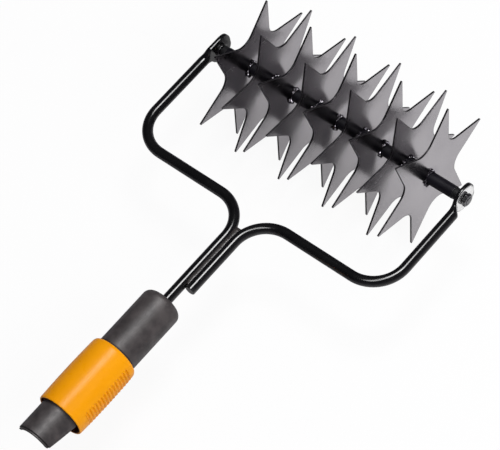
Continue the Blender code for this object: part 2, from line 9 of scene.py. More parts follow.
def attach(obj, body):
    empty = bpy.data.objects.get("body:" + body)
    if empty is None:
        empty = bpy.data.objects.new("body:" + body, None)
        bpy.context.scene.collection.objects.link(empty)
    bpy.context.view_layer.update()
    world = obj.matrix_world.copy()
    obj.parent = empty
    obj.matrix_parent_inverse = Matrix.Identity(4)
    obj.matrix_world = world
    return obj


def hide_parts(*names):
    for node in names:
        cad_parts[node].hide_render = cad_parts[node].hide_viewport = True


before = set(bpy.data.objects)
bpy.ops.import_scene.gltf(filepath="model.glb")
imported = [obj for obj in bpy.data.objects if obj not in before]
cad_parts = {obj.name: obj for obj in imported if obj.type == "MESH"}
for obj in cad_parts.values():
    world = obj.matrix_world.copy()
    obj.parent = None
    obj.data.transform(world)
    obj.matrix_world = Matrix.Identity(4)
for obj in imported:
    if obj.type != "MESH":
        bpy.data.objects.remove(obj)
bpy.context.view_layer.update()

mm = 0.001
rollerX = 5.25 * mm  # middle of the roller
yokeX = 4.75 * mm  # middle of the yoke
axleY = 317.5 * mm
gap = dict(seat=0.3 * mm, run=0.4 * mm)  # between fastened pieces, and beside a piece that turns
sides = ((-1, "left"), (1, "right"))
scene = bpy.context.scene
scene.view_settings.view_transform = "Standard"


# Mesh helpers

# Turns named sizes in millimetres into a dictionary of sizes in metres.
def millimetres(**sizes):
    return {name: np.multiply(size, mm) for name, size in sizes.items()}


# Evenly spread angles round a circle.
def angles(count):
    return 2 * np.pi * np.arange(count) / count


# Joins neighbouring points of a grid of rows and columns into quads, round the end where it wraps.
def gridFaces(rows, columns, wrapRows, wrapColumns, first=0):
    r, c = np.meshgrid(
        np.arange(rows if wrapRows else rows - 1),
        np.arange(columns if wrapColumns else columns - 1),
        indexing="ij",
    )
    nextR = (r + 1) % rows
    nextC = (c + 1) % columns
    quads = [r * columns + c, r * columns + nextC, nextR * columns + nextC, nextR * columns + c]
    return (np.stack(quads, -1).reshape(-1, 4) + first).tolist()


# Closes one ring of a grid with triangles that meet in its middle point.
def fanFaces(columns, firstOfRing, middle):
    k = np.arange(columns)
    fan = [firstOfRing + k, firstOfRing + (k + 1) % columns, np.full(columns, middle)]
    return np.stack(fan, -1).tolist()


class Shell:
    # Collects grids of points into one mesh with two numbers per point: edge says how near a worn or cut edge
    # it is, the bare-and-shade number how far the finish gives way to another: clean metal, or a dark tone
    # painted where shade falls.
    def __init__(self):
        self.points = []
        self.edge = []
        self.bareAndShade = []
        self.faces = []
        self.count = 0

    # Adds a grid and its two numbers, and gives the place of its first point.
    def addPoints(self, points, edge=0.0, bareAndShade=0.0):
        points = np.asarray(points, float)
        shape = points.shape[:-1]
        self.points.append(points.reshape(-1, 3))
        self.edge.append(np.broadcast_to(edge, shape).ravel())
        self.bareAndShade.append(np.broadcast_to(bareAndShade, shape).ravel())
        first = self.count
        self.count += len(self.points[-1])
        return first

    # A surface whose rows are closed rings. Its ends are fanned shut or joined to each other.
    def addTube(self, rings, edge=0.0, bareAndShade=0.0, joined=False):
        rows, columns = rings.shape[:2]
        first = self.addPoints(rings, edge, bareAndShade)
        self.faces += gridFaces(rows, columns, joined, True, first)
        if joined:
            return
        shades = np.broadcast_to(edge, (rows, columns))
        for row in (0, rows - 1):
            middle = self.addPoints(rings[row].mean(axis=0)[None], shades[row].mean())
            self.faces += fanFaces(columns, first + row * columns, middle)

    # Welds points that nearly touch, turns faces outward and marks edges sharper than an angle.
    def build(self, name, sharp, merge=0.002 * mm):
        mesh = bpy.data.meshes.new(name)
        mesh.from_pydata(np.concatenate(self.points).tolist(), [], self.faces)
        for layer, values in (("edge", self.edge), ("bareAndShade", self.bareAndShade)):
            attribute = mesh.attributes.new(layer, "FLOAT", "POINT")
            attribute.data.foreach_set("value", np.concatenate(values).astype(np.float32))
        shape = bmesh.new()
        shape.from_mesh(mesh)
        bmesh.ops.remove_doubles(shape, verts=shape.verts, dist=merge)
        bmesh.ops.recalc_face_normals(shape, faces=shape.faces)
        shape.to_mesh(mesh)
        shape.free()
        mesh.shade_smooth()
        mesh.set_sharp_from_angle(angle=math.radians(sharp))
        return mesh


# One surface of closed rings as a mesh.
def ringMesh(name, rings, edge=0.0, bareAndShade=0.0, joined=False, sharp=32.0):
    shell = Shell()
    shell.addTube(rings, edge, bareAndShade, joined)
    return shell.build(name, sharp)


# A new object in the scene.
def addObject(name, data):
    made = bpy.data.objects.new(name, data)
    scene.collection.objects.link(made)
    return made


# Puts a finished mesh on its body, in place of the plain solid of the same part.
def addPiece(mesh, material, body, slot, *nodes):
    piece = addObject(mesh.name, mesh)
    mesh.materials.append(material)
    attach(piece, body)
    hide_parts(*nodes)


# Rises from 0 to 1 between two values, with level ends.
def smoothStep(low, high, value):
    t = np.clip((value - low) / (high - low), 0, 1)
    return t * t * (3 - 2 * t)


# 1 between two walls and 0 outside them, with a soft step at each.
def between(low, high, soft, value):
    return smoothStep(low - soft, low + soft, value) * (1 - smoothStep(high - soft, high + soft, value))


# Rings round a line along Y: radius times cosine to the right and radius times sine upwards.
def roundY(radius, place, a):
    x = radius * np.cos(a)
    return np.stack([x, place + 0 * x, radius * np.sin(a)], -1)


# Stacks parts of a turned surface, each one radius per place or a row of radii per place.
def stackRadii(parts, count):
    rows = [part.reshape(len(part), -1) for part in parts]
    return np.concatenate([np.broadcast_to(row, (len(row), count)) for row in rows])


# A profile of (distance from the axle, place along it) turned about the axle.
def turnedX(profile, middleX, count):
    a = angles(count)
    r = profile[:, :1]
    return np.stack([middleX + profile[:, 1:] + 0 * a, axleY + r * np.cos(a), r * np.sin(a)], -1)


# Replaces each corner of an open profile by a quarter-like curve that starts and ends a set way from it.
def softProfile(corners, cut, steps=4):
    corners = np.asarray(corners, float)
    t = np.linspace(0, 1, steps + 1)[:, None]
    out = [corners[:1]]
    for before, corner, after in zip(corners, corners[1:], corners[2:]):
        back, ahead = before - corner, after - corner
        start = corner + back * min(cut / np.linalg.norm(back), 0.45)
        end = corner + ahead * min(cut / np.linalg.norm(ahead), 0.45)
        out.append((1 - t) ** 2 * start + 2 * t * (1 - t) * corner + t ** 2 * end)
    out.append(corners[-1:])
    return np.concatenate(out)


# Materials

# Feeds a node's inputs: another node's output is linked, and a plain value is put on the socket itself.
def feed(node, inputs):
    for key, value in inputs.items():
        if isinstance(value, bpy.types.NodeSocket):
            node.id_data.links.new(value, node.inputs[key])
        else:
            node.inputs[key].default_value = value


# Gives a function that adds a node to the tree with its settings and inputs.
def nodeAdder(tree):
    def add(kind, inputs=None, **settings):
        node = tree.nodes.new("ShaderNode" + kind)
        for key, value in settings.items():
            setattr(node, key, value)
        feed(node, inputs or {})
        return node

    return add


# A new material with its shader and a function that adds nodes.
def makeNodes(name):
    material = bpy.data.materials.new(name)
    material.use_nodes = True
    tree = material.node_tree
    return material, tree.nodes["Principled BSDF"], nodeAdder(tree)


# One step of arithmetic on two numbers.
def combine(add, operation, first, second):
    return add("Math", {0: first, 1: second}, operation=operation).outputs[0]


# The first colour at factor 0 and the second at 1.
def mixColor(add, factor, first, second):
    colors = [c if isinstance(c, bpy.types.NodeSocket) else (*c, 1.0) for c in (first, second)]
    return add("Mix", {0: factor, 6: colors[0], 7: colors[1]}, data_type="RGBA").outputs[2]


# Carries a value from one range to another, held within it.
def mapRange(add, value, fromLow, fromHigh, toLow, toHigh, curve="LINEAR"):
    limits = {"Value": value, "From Min": fromLow, "From Max": fromHigh, "To Min": toLow, "To Max": toHigh}
    return add("MapRange", limits, interpolation_type=curve).outputs["Result"]


# Noise of about 0.5, with its scale per metre.
def noise(add, where, scale, detail, roughness):
    node = add("TexNoise", {"Vector": where, "Scale": scale, "Detail": detail, "Roughness": roughness})
    return node.outputs["Fac"]


# A number that the mesh holds for each point.
def pointNumber(add, name):
    return add("Attribute", attribute_name=name, attribute_type="GEOMETRY").outputs["Fac"]


# A bump by a height, on top of an earlier one if it is given.
def bump(add, height, distance, earlier=None):
    inputs = {"Height": height, "Distance": distance, "Strength": 1.0}
    if earlier is not None:
        inputs["Normal"] = earlier
    return add("Bump", inputs).outputs["Normal"]


# Two close tones mixed by broad noise.
def twoTones(add, where, look):
    broad = mapRange(add, noise(add, where, look["toneScale"], 4.0, 0.55), 0.35, 0.65, 0.0, 1.0)
    return mixColor(add, broad, look["color"], look["secondColor"])


# Paint, plastic and plain metal: two tones, a rougher or smoother skin by finer noise, and bumps of a fine
# grain over a broad wave. Where the look has them, a worn tone along edges, and another finish where the
# bare-and-shade number says: bare metal, or a dark tone painted as shade.
def makeFinish(name, look):
    material, shader, add = makeNodes(name)
    where = add("TexCoord").outputs["Object"]
    tone = twoTones(add, where, look)
    if "wear" in look:
        breakUp = mapRange(add, noise(add, where, look["wearScale"], 5.0, 0.65), 0.38, 0.62, 0.0, 1.0)
        worn = combine(add, "MULTIPLY", pointNumber(add, "edge"), breakUp)
        tone = mixColor(add, combine(add, "MULTIPLY", worn, look["wear"]), tone, look["wearColor"])
    rough = mapRange(add, noise(add, where, look["roughScale"], 5.0, 0.6), 0.3, 0.7, *look["roughness"])
    metal = look.get("metallic", 0.0)
    # The bare-and-shade mix: bare metal on the eye, painted shade on the socket and inside the sleeve.
    if "bareAndShadeColor" in look:
        patchy = mapRange(add, noise(add, where, look["bareAndShadeScale"], 4.0, 0.6), 0.3, 0.55, 0.8, 1.0)
        bareAndShade = combine(add, "MULTIPLY", pointNumber(add, "bareAndShade"), patchy)
        tone = mixColor(add, bareAndShade, tone, look["bareAndShadeColor"])
        rough = add("Mix", {0: bareAndShade, 2: rough, 3: look["bareAndShadeRoughness"]}).outputs[0]
        metal = bareAndShade if look["bareMetal"] else metal
    wave = bump(add, noise(add, where, look["waveScale"], 2.0, 0.5), look["waveDepth"])
    grain = bump(add, noise(add, where, look["grainScale"], 3.0, 0.6), look["grainDepth"], wave)
    feed(shader, {
        "Base Color": tone, "Roughness": rough, "Metallic": metal, "Normal": grain,
        "IOR": look.get("ior", 1.46), "Specular IOR Level": look.get("specular", 0.5),
    })
    return material


glossBlack = makeFinish("glossBlackPaint", dict(
    color=(0.0045, 0.0045, 0.005), secondColor=(0.007, 0.007, 0.0075), toneScale=40.0,
    roughness=(0.120, 0.170), roughScale=180.0, waveScale=120.0, waveDepth=0.004 * mm,
    grainScale=1500.0, grainDepth=0.0001 * mm, ior=1.45,
    wear=0.35, wearColor=(0.06, 0.06, 0.062), wearScale=700.0,
    bareAndShadeColor=(0.86, 0.86, 0.85), bareAndShadeScale=300.0, bareAndShadeRoughness=0.16, bareMetal=True,
))
tubeBlack = makeFinish("tubeSatinBlack", dict(
    color=(0.0050, 0.0045, 0.0070), secondColor=(0.0085, 0.0078, 0.0110), toneScale=60.0,
    roughness=(0.36, 0.48), roughScale=220.0, waveScale=300.0, waveDepth=0.008 * mm,
    grainScale=2200.0, grainDepth=0.003 * mm, ior=1.45, specular=0.13,
    wear=0.6, wearColor=(0.10, 0.10, 0.10), wearScale=500.0,
))
paintedWeld = makeFinish("paintedWeld", dict(
    color=(0.018, 0.015, 0.015), secondColor=(0.038, 0.032, 0.030), toneScale=380.0,
    roughness=(0.34, 0.50), roughScale=700.0, waveScale=420.0, waveDepth=0.05 * mm,
    grainScale=2400.0, grainDepth=0.006 * mm, ior=1.45,
))
weldSkin = makeFinish("weldSkin", dict(
    color=(0.040, 0.037, 0.045), secondColor=(0.24, 0.23, 0.245), toneScale=520.0, metallic=1.0,
    roughness=(0.15, 0.27), roughScale=900.0, waveScale=520.0, waveDepth=0.07 * mm,
    grainScale=2400.0, grainDepth=0.01 * mm, ior=1.7,
))
zincSteel = makeFinish("darkZinc", dict(
    color=(0.045, 0.045, 0.049), secondColor=(0.115, 0.115, 0.117), toneScale=220.0,
    roughness=(0.22, 0.38), roughScale=600.0, waveScale=400.0, waveDepth=0.01 * mm,
    grainScale=3000.0, grainDepth=0.004 * mm, metallic=1.0,
    wear=0.6, wearColor=(0.40, 0.40, 0.40), wearScale=900.0,
))
springSteel = makeFinish("springWire", dict(
    color=(0.42, 0.42, 0.42), secondColor=(0.50, 0.50, 0.49), toneScale=300.0,
    roughness=(0.22, 0.34), roughScale=700.0, waveScale=500.0, waveDepth=0.008 * mm,
    grainScale=3000.0, grainDepth=0.004 * mm, metallic=1.0,
))
bushBlack = makeFinish("bushNylon", dict(
    color=(0.008, 0.008, 0.009), secondColor=(0.013, 0.013, 0.014), toneScale=200.0,
    roughness=(0.38, 0.52), roughScale=500.0, waveScale=300.0, waveDepth=0.01 * mm,
    grainScale=2600.0, grainDepth=0.006 * mm, specular=0.2,
    wear=0.3, wearColor=(0.06, 0.06, 0.06), wearScale=600.0,
))
socketGrey = makeFinish("socketGreyPlastic", dict(
    color=(0.030, 0.026, 0.026), secondColor=(0.062, 0.054, 0.053), toneScale=95.0,
    roughness=(0.44, 0.54), roughScale=260.0, waveScale=120.0, waveDepth=0.02 * mm,
    grainScale=2400.0, grainDepth=0.014 * mm, specular=0.42,
    wear=0.55, wearColor=(0.14, 0.135, 0.135), wearScale=420.0,
    # painted shade: near-black on the ring beside the sleeve's lip and on the tongue's step and end
    bareAndShadeColor=(0.008, 0.007, 0.007), bareAndShadeScale=300.0, bareAndShadeRoughness=0.7, bareMetal=False,
))
sleeveOrange = makeFinish("sleeveOrangePlastic", dict(
    color=(0.790, 0.300, 0.001), secondColor=(0.820, 0.318, 0.002), toneScale=45.0,
    roughness=(0.25, 0.36), roughScale=200.0, waveScale=110.0, waveDepth=0.03 * mm,
    grainScale=2200.0, grainDepth=0.006 * mm, specular=0.13,
    wear=0.5, wearColor=(0.93, 0.45, 0.05), wearScale=420.0,
    # painted shade: dark maroon over the inside of the sleeve
    bareAndShadeColor=(0.045, 0.005, 0.003), bareAndShadeScale=300.0, bareAndShadeRoughness=0.6, bareMetal=False,
))


# Rolled sheet steel: a satin mirror with rolling lines along one way, smoother near the hub, with a darker
# violet ring painted round the hub as a dark reflection of the tube and the next stars, and cut edges with a
# dark rough skin that is worn through in places.
def makeStarSteel(look):
    material, shader, add = makeNodes("starSheetSteel")
    where = add("TexCoord").outputs["Object"]
    centred = add("VectorMath", {0: where, 1: (0.0, -axleY, 0.0)}, operation="ADD").outputs[0]
    flat = add("VectorMath", {0: centred, 1: (0.0, 1.0, 1.0)}, operation="MULTIPLY").outputs[0]
    fromHub = add("VectorMath", {0: flat}, operation="LENGTH").outputs["Value"]
    tone = twoTones(add, where, look)
    # painted reflection: a darker, violet tone near the hub stands in for the mirrored tube and stars
    ragged = noise(add, where, look["paintedHubShadeScale"], 3.0, 0.6)
    reach = mapRange(add, ragged, 0.3, 0.7, look["paintedHubShadeReach"] * 0.75, look["paintedHubShadeReach"] * 1.25)
    closeness = combine(add, "DIVIDE", fromHub, reach)
    paintedHubShade = mapRange(add, closeness, 0.55, 1.0, look["paintedHubShade"], 0.0)
    tone = mixColor(add, paintedHubShade, tone, look["paintedHubShadeColor"])
    edge = pointNumber(add, "edge")
    worn = mapRange(add, noise(add, where, look["cutScale"], 4.0, 0.6), 0.25, 0.6, 0.75, 1.0)
    tone = mixColor(add, combine(add, "MULTIPLY", edge, worn), tone, look["cutColor"])
    lines = add("Mapping", {"Vector": where, "Scale": look["lineStretch"]}).outputs["Vector"]
    grain = noise(add, lines, look["lineScale"], 4.0, 0.6)
    cloud = noise(add, where, look["cloudScale"], 4.0, 0.6)
    rough = mapRange(add, cloud, 0.3, 0.7, *look["roughness"])
    rough = combine(add, "ADD", rough, mapRange(add, grain, 0.3, 0.7, *look["streak"]))
    rough = combine(add, "MULTIPLY", rough, mapRange(add, fromHub, *look["polishReach"], look["polish"], 1.0))
    rough = combine(add, "ADD", rough, combine(add, "MULTIPLY", edge, look["cutRoughness"]))
    wave = bump(add, noise(add, where, look["waveScale"], 2.0, 0.4), look["waveDepth"])
    lined = bump(add, grain, look["lineDepth"], wave)
    feed(shader, {"Base Color": tone, "Roughness": rough, "Metallic": 1.0, "Normal": lined})
    return material


starSteel = makeStarSteel(dict(
    color=(0.340, 0.325, 0.340), secondColor=(0.367, 0.351, 0.365), toneScale=30.0,
    # the darker violet tone near the hub is a painted reflection
    paintedHubShade=0.25, paintedHubShadeColor=(0.10, 0.09, 0.13), paintedHubShadeReach=12.0 * mm, paintedHubShadeScale=130.0,
    cutColor=(0.012, 0.011, 0.013), cutRoughness=0.20, cutScale=900.0,
    roughness=(0.19, 0.26), streak=(-0.02, 0.03), cloudScale=55.0,
    polishReach=(8.0 * mm, 29.0 * mm), polish=0.42,
    lineStretch=(1.0, 1.0, 9.0), lineScale=260.0, lineDepth=0.0008 * mm,
    waveScale=16.0, waveDepth=0.04 * mm,
))
print("materials made")


# Stars

star = millimetres(
    pitch=23.45, tip=67.0, notch=35.2, notchFillet=13.8, tipFlat=1.0, tipSoft=0.42, thickness=1.5,
    edgeRound=0.1, rimWidth=1.0, hole=5.6,
) | dict(
    count=9, points=6, phase=math.radians(2.1),
    faceRings=(0.0, 0.12, 0.4, 0.7, 1.0),  # shares of the way from the hole to the rim
)


# The outline of a star as points round its centre: straight flanks that touch round notches, tips cut flat
# and softened by short curves.
def starOutline():
    half = math.pi / star["points"]
    fillet = star["notchFillet"]
    centre = star["notch"] + fillet
    tipX = star["tip"] * math.cos(half) + star["tipFlat"] / 2 * math.sin(half)
    tipY = star["tip"] * math.sin(half) - star["tipFlat"] / 2 * math.cos(half)
    reach = math.hypot(tipX - centre, tipY)
    spread = math.pi - math.atan2(tipY, tipX - centre) - math.acos(fillet / reach)
    a = np.linspace(math.pi + spread, math.pi - spread, 21)
    arc = np.stack([centre + fillet * np.cos(a), fillet * np.sin(a)], -1)
    near = np.array([tipX, -tipY])
    before = near + star["tipSoft"] * np.array([-math.sin(half), -math.cos(half)])
    flankIn = (arc[0] - near) / np.linalg.norm(arc[0] - near)
    s = np.linspace(0, 1, 5)[:, None]
    soft = (1 - s) ** 2 * before + 2 * s * (1 - s) * near + s ** 2 * (near + flankIn * star["tipSoft"])
    softFar = soft[::-1] * np.array([1, -1])
    t = np.linspace(0, 1, 6)[1:-1, None]
    down = soft[-1] + (arc[0] - soft[-1]) * t
    up = arc[-1] + (softFar[0] - arc[-1]) * t
    x, y = np.concatenate([soft, down, arc, up, softFar]).T
    turns = half * (2 * np.arange(star["points"]) + 1)
    c, s = np.cos(turns)[:, None], np.sin(turns)[:, None]
    return np.stack([x * c - y * s, x * s + y * c], -1).reshape(-1, 2)


# A closed sheet: rings run from the hole over one face, round the cut edge and back over the other face. On a
# face they lie between the hole's circle and the outline moved straight towards the hub, so that no points
# cross in the narrow tips.
def starMesh(name, plane, turn):
    outline = starOutline()
    along = np.roll(outline, -1, axis=0) - np.roll(outline, 1, axis=0)
    normal = np.stack([along[:, 1], -along[:, 0]], -1)
    normal /= np.linalg.norm(normal, axis=1)[:, None]
    angle = np.arctan2(outline[:, 1], outline[:, 0])
    hole = np.stack([np.cos(angle), np.sin(angle)], -1) * star["hole"]
    inset = outline * (1 - star["rimWidth"] / np.linalg.norm(outline, axis=1))[:, None]
    half, soft = star["thickness"] / 2, star["edgeRound"]
    rings = [(hole * (1 - share) + inset * share, half, 0.0) for share in star["faceRings"]]
    for a in np.linspace(0, math.pi / 2, 4):
        flat = outline - normal * soft * (1 - math.sin(a))
        rings.append((flat, half - soft * (1 - math.cos(a)), 0.8 + 0.2 * math.sin(a)))
    rings += [(flat, -x, edge) for flat, x, edge in rings[::-1]]
    y, z = np.moveaxis(np.stack([flat for flat, x, edge in rings]), -1, 0)
    x = np.array([x for flat, x, edge in rings])[:, None]
    edge = np.array([edge for flat, x, edge in rings])[:, None]
    c, s = math.cos(turn), math.sin(turn)
    rings = np.stack([plane + x + 0 * y, axleY + y * c - z * s, y * s + z * c], -1)
    return ringMesh(name, rings, edge, joined=True)


starPlanes = [rollerX + (i - 4) * star["pitch"] for i in range(star["count"])]
starTurns = [star["phase"] + i % 2 * math.pi / star["points"] for i in range(star["count"])]
for number, (plane, turn) in enumerate(zip(starPlanes, starTurns), start=1):
    mesh = starMesh(f"starBlade{number}", plane, turn)
    addPiece(mesh, starSteel, "roller", "star_steel", f"star_{number}")
print("stars made")


# Welds on the tube

weld = millimetres(tube=5.5, thin=0.3, dropSizes=(0.95, 1.75, 1.35, 0.7)) | dict(
    lumps=3, lumpAngle=math.radians(190.0), sink=0.5, drops=(-24.0, -6.0, 15.0, 31.0),
    dropSpread=math.radians(14.0), dropShift=math.radians(5.0), sizeVaries=0.28, ripple=0.05, lumpy=0.12,
)


# A thin bead carried round the tube in the corner that it makes with the star. At each lump it swells to a
# row of drops, each the root of one less the squared distance over its spread. Sines of the star's seed, the
# drop and the lump stand in for chance, so that no two lumps are alike.
def weldMesh(name, plane, turn, seed):
    a = angles(240)
    step = 2 * math.pi / weld["lumps"]
    fromLump = (a - turn + step / 2) % step - step / 2
    lump = np.floor((a - turn + step / 2) / step)
    size = np.full(len(a), weld["thin"])
    for k, (place, height) in enumerate(zip(np.radians(weld["drops"]), weld["dropSizes"])):
        shift = weld["dropShift"] * np.sin(3.1 * seed + 2.0 * k + 1.7 * lump)
        scale = 1 + weld["sizeVaries"] * np.sin(2.3 * seed + 1.9 * k + 2.9 * lump)
        dome = np.sqrt(np.clip(1 - ((fromLump - place - shift) / weld["dropSpread"]) ** 2, 0, 1))
        size = np.maximum(size, height * scale * dome)
    swell = size / max(weld["dropSizes"])
    size = size * (1 + np.sin(23 * a + seed) * weld["ripple"])
    b = angles(20)
    lumpy = 1 + weld["lumpy"] * np.sin(3 * b[None] + 17 * a[:, None] + seed) * swell[:, None]
    out = weld["tube"] + size[:, None] * (weld["sink"] + np.sin(b)) * lumpy
    along = star["thickness"] / 2 + size[:, None] * (weld["sink"] + np.cos(b)) * lumpy
    rings = [plane + along, axleY + out * np.cos(a)[:, None], out * np.sin(a)[:, None]]
    return ringMesh(name, np.stack(rings, -1), joined=True, sharp=70.0)


for number, plane in enumerate(starPlanes, start=1):
    turn = weld["lumpAngle"] + star["phase"] + (number + 1) % 2 * math.pi / weld["lumps"]
    mesh = weldMesh(f"starBead{number}", plane, turn, 1.7 * number)
    addPiece(mesh, weldSkin, "roller", "weld_metal", f"star_weld_{number}")
print("welds made")


# Roller tube, bushes, washers, axle and nuts

roller = millimetres(
    tubeRadius=5.5, wall=1.2, overhang=26.2, tubeSoft=0.3, flange=3.8, flangeRadius=5.2, bushRadius=4.0,
    bushHole=3.4, bushLength=12.0, bushSoft=0.25, endPlay=0.5, washer=1.6, washerRadius=6.0,
    washerHole=3.3, washerSoft=0.2,
)
tubeHalf = 4 * star["pitch"] + roller["overhang"]
tubeFace = gap["seat"] + roller["flange"]
washerFace = tubeHalf + tubeFace + roller["endPlay"] + gap["run"]
eyeInner = washerFace + roller["washer"] + gap["seat"]
eyeThick = 3.4 * mm
nutFace = eyeInner + eyeThick + gap["seat"]


# A closed profile of (radius, place) with softened corners, turned about the axle. Points close beside each
# corner keep the wear at the corner.
def turnedRing(name, corners, cut, middleX, count=72):
    corners = np.asarray(corners, float)
    start = (corners[0] + corners[-1]) / 2
    profile = softProfile(np.concatenate([[start], corners, [start]]), cut)
    step = np.diff(profile, axis=0)
    length = np.linalg.norm(step, axis=1)
    longOnes = np.nonzero(length > 5 * cut)[0]
    beside = step[longOnes] / length[longOnes, None] * 1.5 * cut
    extra = np.stack([profile[longOnes] + beside, profile[longOnes + 1] - beside], 1).reshape(-1, 2)
    profile = np.insert(profile, np.repeat(longOnes + 1, 2), extra, axis=0)[:-1]
    distance = np.linalg.norm(profile[:, None] - corners[None], axis=2).min(axis=1)
    edge = np.where(distance < cut * 1.05, 0.8, 0.0)[:, None]
    return ringMesh(name, turnedX(profile, middleX, count), edge, joined=True)


tubeHole = roller["tubeRadius"] - roller["wall"]
tubeMesh = turnedRing("rollerTube", [
    (tubeHole, -tubeHalf), (roller["tubeRadius"], -tubeHalf),
    (roller["tubeRadius"], tubeHalf), (tubeHole, tubeHalf),
], roller["tubeSoft"], rollerX, 96)
addPiece(tubeMesh, tubeBlack, "roller", "tube_paint", "roller_tube")

for side, label in sides:
    flangeOut, flangeIn, bushEnd = side * tubeFace, side * gap["seat"], -side * roller["bushLength"]
    bushMesh = turnedRing(f"bush{label.title()}", [
        (roller["bushHole"], flangeOut), (roller["flangeRadius"], flangeOut),
        (roller["flangeRadius"], flangeIn), (roller["bushRadius"], flangeIn),
        (roller["bushRadius"], bushEnd), (roller["bushHole"], bushEnd),
    ], roller["bushSoft"], rollerX + side * tubeHalf)
    addPiece(bushMesh, bushBlack, "roller", "bush_nylon", f"bush_{label}")
    half = roller["washer"] / 2
    washerMesh = turnedRing(f"washer{label.title()}", [
        (roller["washerHole"], -half), (roller["washerRadius"], -half),
        (roller["washerRadius"], half), (roller["washerHole"], half),
    ], roller["washerSoft"], yokeX + side * (washerFace + half))
    addPiece(washerMesh, zincSteel, "head", "zinc_steel", f"thrust_washer_{label}")

nut = millimetres(
    flats=10.0, height=3.6, bore=3.2, boreSoft=0.3, crown=4.75, chamfer=0.8,
) | dict(slope=0.55, sides=144)
axle = millimetres(radius=3.0, beyondNut=0.4, chamfer=0.5, endMiddle=0.4, soft=0.12) | dict(sides=48)


# A rod with chamfered ends, turned about the axle.
def axleMesh():
    r, c = axle["radius"], axle["chamfer"]
    h = nutFace + nut["height"] + axle["beyondNut"]
    oneEnd = [(axle["endMiddle"], h), (r - c, h), (r, h - c), (r, h - 4 * c)]
    profile = softProfile([(radius, -x) for radius, x in oneEnd] + oneEnd[::-1], axle["soft"])
    edge = np.where(np.abs(profile[:, 1:]) > h - 2 * c, 0.7, 0.0)
    return ringMesh("axleRod", turnedX(profile, yokeX, axle["sides"]), edge)


# A hexagon about the axle: each point lies at the flat's distance over the cosine of its angle from the
# middle of the flat, or at the radius of a shallow cone if that is less, which makes the turned chamfers.
def nutMesh(name, side):
    a = 2 * np.pi * (np.arange(nut["sides"]) + 0.5) / nut["sides"]
    fromFlat = (a + math.pi / 6) % (math.pi / 3) - math.pi / 6
    hexagon = nut["flats"] / 2 / np.cos(fromFlat)
    half = nut["height"] / 2
    bore = 0 * a + nut["bore"]
    rings = [(bore, half - nut["boreSoft"]), (bore + nut["boreSoft"], half)]
    for depth in np.linspace(0.0, 1.0, 9) ** 1.3 * nut["chamfer"]:
        rings.append((np.minimum(hexagon, nut["crown"] + depth / nut["slope"]), half - depth))
    rings += [(r, -x) for r, x in rings[::-1]]
    r = np.stack([ring for ring, x in rings])
    x = np.array([x for ring, x in rings])[:, None]
    nearCorner = np.abs(fromFlat) > math.radians(28.5)
    edge = np.where((np.abs(np.abs(x) - half) < 0.5 * mm) | nearCorner[None], 0.7, 0.0)
    middle = yokeX + side * (nutFace + half)
    rings = np.stack([middle + x + 0 * r, axleY + r * np.cos(a), r * np.sin(a)], -1)
    return ringMesh(name, rings, edge, joined=True, sharp=24.0)


addPiece(axleMesh(), zincSteel, "head", "zinc_steel", "axle_rod")
for side, label in sides:
    addPiece(nutMesh(f"nut{label.title()}", side), zincSteel, "head", "zinc_steel", f"axle_nut_{label}")
print("roller and axle parts made")


# Yoke bars

yoke = millimetres(
    barRadius=4.6, bend=30.4, crossbarY=209.0, stemGap=9.5, longStemEnd=47.6, shortStemEnd=122.9,
    endChamfer=0.5, eyeRadius=12.4, neckStart=9.5, neck=8.0,
) | dict(
    armX=eyeInner + 4.6 * mm, around=56,
    eyes={
        -1: dict(squareness=2.8, straight=(10.0 * mm, 0.0), corner=0.35 * mm, bulge=3.0 * mm),
        1: dict(squareness=2.6, straight=(0.0, 0.0), corner=0.9 * mm, bulge=4.6 * mm),
    },
)


# Lines and quarter circles through square corners: an arc of the bend radius replaces each corner point.
# Gives the points and the unit directions along them.
def bentPath(corners, radius, steps=26):
    corners = np.asarray(corners, float)
    points, ways = [], []
    t = np.linspace(0, math.pi / 2, steps)[:, None]
    start = corners[0]
    for before, corner, after in zip(corners, corners[1:], corners[2:]):
        into = (corner - before) / np.linalg.norm(corner - before)
        out = (after - corner) / np.linalg.norm(after - corner)
        centre = corner + (out - into) * radius
        arc = centre + (into * np.sin(t) - out * np.cos(t)) * radius
        s = np.linspace(0, 1, 12)[:-1, None]
        points += [start + (arc[0] - start) * s, arc]
        ways += [np.repeat(into[None], len(s), 0), into * np.cos(t) + out * np.sin(t)]
        start = arc[-1]
    s = np.linspace(0, 1, 16)[1:, None]
    points.append(start + (corners[-1] - start) * s)
    ways.append(np.repeat(out[None], len(s), 0))
    return np.concatenate(points), np.concatenate(ways)


# A quarter of a flattened section from the middle of its face to the middle of its side, as points of (depth,
# width): a flat face, a round corner and a side that bulges on a larger circle.
def flatQuarter(depth, width, corner, bulge, steps):
    corner = np.minimum(corner, 0.8 * depth)
    sag = bulge - np.sqrt(bulge ** 2 - (depth - corner) ** 2)
    reach = np.maximum(width - sag, 0.3 * width)
    corner = np.minimum(corner, 0.6 * reach)
    q = np.arange(steps + 1) / steps
    face = np.clip(q / 0.36, 0, 1)
    rounded = np.clip((q - 0.36) / 0.36, 0, 1) * math.pi / 2
    across = np.clip((q - 0.72) / 0.28, 0, 1)
    x = (depth - corner)[:, None] * (1 - across) + corner[:, None] * np.cos(rounded)
    z = (reach - corner)[:, None] * face + corner[:, None] * np.sin(rounded)
    return x, z + (width - reach)[:, None] * (1 - (1 - across) ** 2)


